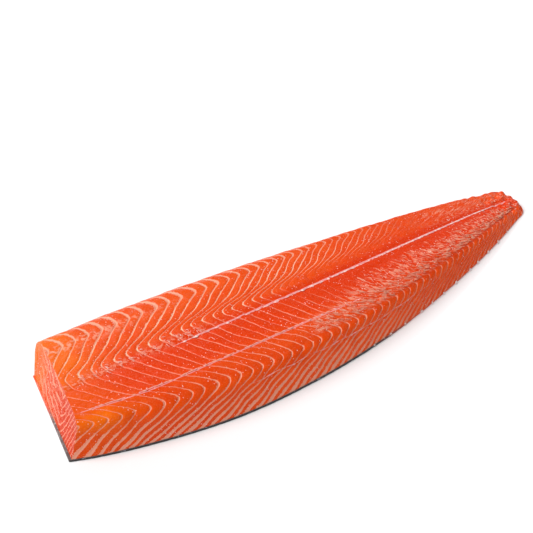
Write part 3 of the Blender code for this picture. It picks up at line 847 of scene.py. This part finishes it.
class FILLET_OT_skin(bpy.types.Operator):
    """Builds the skin: a thin sheet under the flesh with a rounded, slightly wavy rim"""

    bl_idname = "fillet.skin"
    bl_label = "Skin"

    def execute(self, context):
        """Rings round the sheet: across the underside, over the far rim, back over the top and down."""
        share = 1 - (1 - np.linspace(0, 1, SKIN_STEPS)) ** 1.6
        far_bottom = LINE_Y[0]
        sides = []
        for edge, outwards in ((near_edge, -1), (far_bottom, 1)):
            begin = CUT_PER_Y * edge(0.0) - SKIN_REACH
            s = begin + (LENGTH + SKIN_REACH - begin) * share
            inside = np.minimum(s, LENGTH)
            # A wavy rim, drawn in under the tail half and at the far corner of the cut.
            reach = RIM_REACH - 0.12 * (1 + np.clip(ripple(s, 0 * s, 7.0, 21 + outwards), -1, 1))
            reach = reach - 1.1 * smoothstep(290, 400, s) * smoothstep(LENGTH, LENGTH - 30, s)
            reach = reach - 0.6 * smoothstep(16, 2, s - begin) * (outwards > 0)
            sides.append(np.stack([s, across(inside, edge(inside)) + outwards * reach, 0 * s], axis=1))
        near, far = sides
        cross = np.linspace(0, 1, SKIN_COLUMNS)
        top_cross = np.linspace(1, 0, 10)
        low, high = RIM_HEIGHTS
        width = np.linalg.norm(far - near, axis=1, keepdims=True)
        unit = (far - near) / width
        flat = [near + unit * (RIM_INSET + (width - 2 * RIM_INSET) * u) for u in cross]
        up = np.array([0, 0, 1.0])
        far_rim = [far + up * low, far - unit * 0.05 + up * high]
        top = [near + unit * (RIM_INSET + (width - 2 * RIM_INSET) * u) + up * SKIN_TOP for u in top_cross]
        near_rim = [near + unit * 0.05 + up * high, near + up * low]
        rings = np.stack(flat + far_rim + top + near_rim, axis=1)
        count = rings.shape[1]
        number = np.arange(SKIN_STEPS * count).reshape(SKIN_STEPS, count)
        after = np.roll(number, -1, axis=1)
        quads = np.stack([number[:-1], after[:-1], after[1:], number[1:]], axis=-1).reshape(-1, 4)
        faces = quads.tolist() + [number[0, ::-1].tolist(), number[-1].tolist()]
        obj = set_mesh("fillet_skin", rings.reshape(-1, 3), faces, fish_skin(context.scene.fillet))
        flank = np.concatenate([cross, [1, 1], top_cross, [0, 0]])
        rim = np.concatenate([[1], np.zeros(SKIN_COLUMNS - 2), np.ones(len(top_cross) + 5)])
        put(obj.data, "flank", np.tile(flank, SKIN_STEPS))
        put(obj.data, "rim", np.tile(rim, SKIN_STEPS))
        s_rim = near[:, 0][:, None]
        far_cut = smoothstep(0.45, 0.7, flank)[None] * smoothstep(12, 4, s_rim - s_rim[0])
        put(obj.data, "tail", np.maximum(0.85 * smoothstep(285, 360, s_rim), far_cut).ravel())
        obj.data.set_sharp_from_angle(angle=math.radians(60))
        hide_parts("skin")
        return {"FINISHED"}


def strands(paths, radii, flatten=1.0, sides=6):
    """Joined closed tubes. paths is strands x points x 3, radii strands x points, in millimetres.

    Each ring lies across its path: radius times (cos a along the level cross direction, flatten times
    sin a along the direction square to both).
    """
    tangent = np.gradient(paths, axis=1)
    tangent /= np.linalg.norm(tangent, axis=-1, keepdims=True) + 1e-9
    level = np.cross(np.array([0, 0, 1.0]), tangent)
    level /= np.linalg.norm(level, axis=-1, keepdims=True) + 1e-9
    upright = np.cross(tangent, level)
    angle = np.arange(sides) * 2 * np.pi / sides
    ring = (
        np.cos(angle)[:, None] * level[:, :, None, :]
        + flatten * np.sin(angle)[:, None] * upright[:, :, None, :]
    )
    points = paths[:, :, None, :] + radii[:, :, None, None] * ring
    many, long = paths.shape[:2]
    number = np.arange(many * long * sides).reshape(many, long, sides)
    after = np.roll(number, -1, axis=2)
    quads = np.stack([number[:, :-1], after[:, :-1], after[:, 1:], number[:, 1:]], axis=-1)
    faces = quads.reshape(-1, 4).tolist()
    faces += number[:, 0, ::-1].tolist() + number[:, -1].tolist()
    return points.reshape(-1, 3), faces


def on_flesh(s, v, lift):
    """A point on the flesh without its grooves, raised by lift millimetres along the normal."""
    return surface(s, v) + normals(s, v) * (base_relief(s, v) - 0.35 + lift)[..., None]


class FILLET_OT_membranes(bpy.types.Operator):
    """Builds the midline membrane with its knots and the two thinner ones on the near half"""

    bl_idname = "fillet.membranes"
    bl_label = "Membranes"

    def execute(self, context):
        settings = context.scene.fillet
        # The midline membrane's pale patches take the glint colour: partly its milky tissue, partly painted
        # highlight.
        milky = wet_membrane("wet connective membrane", settings.membrane, settings.pale_tissue_and_glint)
        pink = wet_membrane("wet pink membrane", settings.pink, settings.membrane)
        self.membrane("midline_membrane", 5.0, 112.0, 556.0, 0.32, 0.95, 31, milky)
        self.membrane("near_membrane", 6.0, 8.0, 318.0, 0.52, 0.22, 33, pink)
        self.membrane("seam_membrane", 7.9, 150.0, 392.0, 0.42, 0.45, 35, pink)
        return {"FINISHED"}

    @staticmethod
    def membrane(name, v, begin, end, plain, knots, seed, material):
        """A flat tube along the line at v from begin to end, swollen to a knot where each septum meets it.

        Its half width in millimetres is plain between the knots and about plain + knots at them, and it
        tapers to a thread at both ends. The midline's grows broader and smoother in the tail half.
        """
        s = np.linspace(begin, end, 900)
        hooks = septum_hooks()
        number = np.interp(s, septum_distance(hooks, np.full(len(hooks), v)), np.arange(len(hooks)))
        share = np.abs(number - np.round(number))
        knot = np.exp(-((share / 0.16) ** 2))
        ends = smoothstep(begin - 8, begin + 20, s) * smoothstep(end, end - 60, s)
        solid = smoothstep(250, 340, s) * (v < 5.5)
        knots = knots * (1 - 0.7 * solid)
        wide = ends * (plain + 0.45 * solid + knots * knot * (0.7 + 0.4 * ripple(s, 0 * s, 40.0, seed)))
        wide = wide * (1 + 0.3 * ripple(s, 0 * s, 5.0, seed + 2))
        wide = np.maximum(wide, 0.08)
        loose = 0.004 + 0.04 * (v > 7)
        wander = loose * ripple(s, 0 * s, 30.0, seed + 1) + 0.012 * knot
        path = on_flesh(s, v + wander, 0.12 - 0.15 * (v > 5.5))
        points, faces = strands(path[None], wide[None], flatten=0.3, sides=8)
        obj = set_mesh(name, points, faces, material)


class FILLET_OT_tufts(bpy.types.Operator):
    """Builds the pin-bone tufts near the cut and the torn fibres from a third of the way on"""

    bl_idname = "fillet.tufts"
    bl_label = "Tufts and torn fibres"

    def execute(self, context):
        settings = context.scene.fillet
        self.tufts(wet_membrane("wet pin bone tissue", settings.pink, settings.pale_tissue_and_glint))
        self.torn_fibres(torn_muscle(settings))
        return {"FINISHED"}

    @staticmethod
    def scatter(hooks, v, spread_s, spread_v, length, turn, radius, seed, many, points=7):
        """Short curved strands around each place where a membrane crosses v.

        Each runs from its root by its length in its own direction, bowed sideways by a sine of the way
        along, and lies on the flesh.
        """
        rng = np.random.default_rng(seed)
        root_hook = np.repeat(hooks, many)
        size = len(root_hook)
        s0 = septum_distance(root_hook, np.full(size, v)) + rng.normal(0, spread_s, size)
        v0 = v + rng.normal(0, spread_v, size)
        heading = turn + rng.normal(0, 0.45, size)
        reach = length * rng.uniform(0.5, 1.3, size)
        way = np.linspace(0, 1, points)
        bow = rng.normal(0, 0.16, size)[:, None] * np.sin(np.pi * way)
        along = reach[:, None] * way
        s = s0[:, None] + along * np.cos(heading)[:, None] - bow * reach[:, None] * np.sin(heading)[:, None]
        shift = along * np.sin(heading)[:, None] + bow * reach[:, None] * np.cos(heading)[:, None]
        zone_width = np.abs(LINE_Y[int(v)](s0) - LINE_Y[int(v) + 1](s0))[:, None]
        across_v = np.clip(v0[:, None] + shift / zone_width, 0.2, 8.8)
        lift = 0.25 + 0.35 * np.sin(np.pi * way)[None] * rng.uniform(0, 1, size)[:, None]
        path = on_flesh(np.clip(s, 24, LENGTH - 6), across_v, np.broadcast_to(lift, s.shape))
        taper = 0.25 + 0.75 * np.sin(np.pi * (0.1 + 0.8 * way))
        thick = radius * rng.uniform(0.6, 1.3, size)[:, None] * taper
        return strands(path, thick, flatten=0.6, sides=5)

    def tufts(self, material):
        """Nine short strands where each membrane crosses from its hook to the midline, near the cut."""
        hooks = septum_hooks()
        hooks = hooks[(hooks > 18) & (hooks < 150)]
        points, faces = self.scatter(hooks, 4.5, 1.6, 0.22, 3.0, 0.9, 0.28, 41, 9)
        obj = set_mesh("pin_bone_tufts", points, faces, material)

    @staticmethod
    def torn_fibres(material):
        """Ridges of torn muscle that follow the membranes: v runs on while the hook barely changes."""
        rng = np.random.default_rng(43)
        many = 900
        hook = rng.uniform(190, 520, many)
        far = 5.25 + 0.75 * smoothstep(330, 215, hook)
        v0 = far + (6.62 - far) * rng.uniform(0, 1, many) ** 0.75
        way = np.linspace(0, 1, 9)
        span = rng.uniform(0.08, 0.26, many)
        v = np.clip(v0[:, None] + span[:, None] * way, 4.0, 6.8)
        drift = rng.normal(0, 1.3, many)[:, None] * way
        drift = drift + 0.5 * np.sin(rng.uniform(0, 6, many)[:, None] + 7 * way)
        s = np.clip(septum_distance(hook[:, None] + drift, v), 24, LENGTH - 5)
        lift = -0.05 + 0.4 * rng.uniform(0.2, 1, many)[:, None] * np.sin(np.pi * way)
        thick = rng.uniform(0.22, 0.5, many)[:, None] * (0.2 + 0.8 * np.sin(np.pi * (0.06 + 0.88 * way)))
        points, faces = strands(on_flesh(s, v, lift), thick, flatten=0.4, sides=5)
        obj = set_mesh("torn_fibres", points, faces, material)


class FILLET_OT_flecks(bpy.types.Operator):
    """Builds the small silver scraps of skin that curl up at the near edge towards the tail"""

    bl_idname = "fillet.flecks"
    bl_label = "Skin flecks"

    def execute(self, context):
        """Each fleck is a small square sheet, bent by a sine across it and given a little thickness."""
        rng = np.random.default_rng(51)
        hooks = septum_hooks()
        hooks = hooks[(hooks > 290) & (hooks < 530)][::2]
        s0 = septum_distance(hooks, np.full(len(hooks), 9.0)) + rng.normal(0, 2.0, len(hooks))
        s0 = s0[s0 < LENGTH - 16]
        u, w = np.meshgrid(np.linspace(-0.5, 0.5, 7), np.linspace(0, 1, 6))
        wide = rng.uniform(2.2, 5.0, len(s0))[:, None, None]
        tall = rng.uniform(1.2, 2.4, len(s0))[:, None, None]
        curl = rng.uniform(0.2, 0.7, len(s0))[:, None, None]
        s = s0[:, None, None] + wide * u * (1 - 0.5 * w)
        out = 0.5 + curl * np.sin(np.pi * w) + 0.2 * np.sin(7 * u + s0[:, None, None])
        y = across(s, near_edge(s)) - out + 0.25 * tall * w
        z = 1.4 + tall * w + 0 * s
        sheet = np.stack([s, y, z], axis=-1)
        back = sheet + np.array([0, 0.22, 0])
        many = len(s0)
        size = u.size
        shift = many * size
        front_number = np.arange(shift).reshape(many, *u.shape)
        back_number = front_number + shift
        faces = []
        for number, flip in ((front_number, 1), (back_number, -1)):
            corners = [number[:, :-1, :-1], number[:, :-1, 1:], number[:, 1:, 1:], number[:, 1:, :-1]]
            cells = np.stack(corners, axis=-1)
            faces += cells.reshape(-1, 4)[:, ::flip].tolist()
        loop = [(0, j) for j in range(6)] + [(i, 6) for i in range(5)]
        loop += [(5, j) for j in range(6, 0, -1)] + [(i, 0) for i in range(5, 0, -1)]
        rim = np.stack([front_number[:, i, j] for i, j in loop], axis=1)
        nxt = np.roll(rim, -1, axis=1)
        faces += np.stack([nxt, rim, rim + shift, nxt + shift], axis=-1).reshape(-1, 4).tolist()
        points = np.concatenate([sheet.reshape(-1, 3), back.reshape(-1, 3)])
        obj = set_mesh("skin_flecks", points, faces, skin_scrap(context.scene.fillet))
        return {"FINISHED"}


# Camera of the photograph: the table point it looks at in metres, its turn round the fillet, its height
# above the horizon, its distance, and the lens that gives the photograph's field on a 36 mm sensor.
LOOK_AT = (0.0033, 0.0900, 0.0)
CAMERA_AZIMUTH = -35.1
CAMERA_ELEVATION = 36.0
CAMERA_DISTANCE = 1.3003
LENS = 87.1

# Half the side of the square floor, in metres.
FLOOR_HALF = 4.0


class FILLET_OT_stage(bpy.types.Operator):
    """Builds the pale floor, the soft lights and the camera"""

    bl_idname = "fillet.stage"
    bl_label = "Stage"

    def execute(self, context):
        self.floor()
        self.lights(context)
        self.camera(context)
        return {"FINISHED"}

    @staticmethod
    def floor():
        mesh = bpy.data.meshes.new("floor")
        corners = [(x * FLOOR_HALF, y * FLOOR_HALF, 0) for x, y in ((-1, -1), (1, -1), (1, 1), (-1, 1))]
        mesh.from_pydata(corners, [], [(0, 1, 2, 3)])
        material, tree, shader = new_material("white paper sweep")
        place = add(tree, "TexCoord", out="Object")
        fibres = add(tree, "TexNoise", {"Vector": place, "Scale": 1 / (400.0 * MM)})
        tone = add(tree, "Math", {0: fibres, 1: 0.02, 2: 0.90}, operation="MULTIPLY_ADD")
        grey = add(tree, "CombineColor", {0: tone, 1: tone, 2: tone})
        wire(tree, shader, {
            "Base Color": grey, "Roughness": 0.9, "Emission Color": (1.0, 1.0, 1.0, 1.0),
            "Emission Strength": 0.08})
        mesh.materials.append(material)
        obj = bpy.data.objects.new("floor", mesh)
        bpy.context.scene.collection.objects.link(obj)

    @staticmethod
    def lights(context):
        for name, kind, place, width, power in (
            ("soft key", "SUN", (-1.3, 0.5, 1.7), math.radians(42), context.scene.fillet.key),
            ("sparkle lamp", "AREA", (0.1, 1.3, 1.2), 0.08, 3.5),
        ):
            lamp = bpy.data.lights.new(name, kind)
            if kind == "SUN":
                lamp.angle = width
            else:
                lamp.size = width
            lamp.energy = power
            obj = bpy.data.objects.new(name, lamp)
            obj.location = place
            obj.rotation_euler = Vector(place).to_track_quat("Z", "Y").to_euler()
            context.scene.collection.objects.link(obj)
        world = bpy.data.worlds.new("studio air")
        world.use_nodes = True
        world.node_tree.nodes["Background"].inputs["Color"].default_value = (0.97, 0.98, 1.0, 1.0)
        world.node_tree.nodes["Background"].inputs["Strength"].default_value = 0.37
        context.scene.world = world
        context.scene.view_settings.view_transform = "Standard"

    @staticmethod
    def camera(context):
        turn, rise = math.radians(CAMERA_AZIMUTH), math.radians(CAMERA_ELEVATION)
        back = Vector((math.sin(turn) * math.cos(rise), -math.cos(turn) * math.cos(rise), math.sin(rise)))
        data = bpy.data.cameras.new("camera")
        data.lens = LENS
        data.sensor_width = 36.0
        obj = bpy.data.objects.new("camera", data)
        obj.location = Vector(LOOK_AT) + back * CAMERA_DISTANCE
        obj.rotation_euler = (-back).to_track_quat("-Z", "Y").to_euler()
        context.scene.collection.objects.link(obj)
        context.scene.camera = obj


OPERATORS = (
    FILLET_OT_flesh, FILLET_OT_skin, FILLET_OT_membranes, FILLET_OT_tufts, FILLET_OT_flecks, FILLET_OT_stage)


class FILLET_PT_panel(bpy.types.Panel):
    """Lists the fillet's pieces and settings in the sidebar"""

    bl_label = "Fillet"
    bl_space_type = "VIEW_3D"
    bl_region_type = "UI"
    bl_category = "Fillet"

    def draw(self, context):
        for name in FilletSettings.__annotations__:
            self.layout.prop(context.scene.fillet, name)
        for operator in OPERATORS:
            self.layout.operator(operator.bl_idname)


CLASSES = (FilletSettings, *OPERATORS, FILLET_PT_panel)


def register():
    for item in CLASSES:
        bpy.utils.register_class(item)
    bpy.types.Scene.fillet = bpy.props.PointerProperty(type=FilletSettings)


def unregister():
    del bpy.types.Scene.fillet
    for item in reversed(CLASSES):
        bpy.utils.unregister_class(item)


def main():
    register()
    for name in ("flesh", "skin", "membranes", "tufts", "flecks", "stage"):
        getattr(bpy.ops.fillet, name)()


if __name__ == "__main__":
    main()
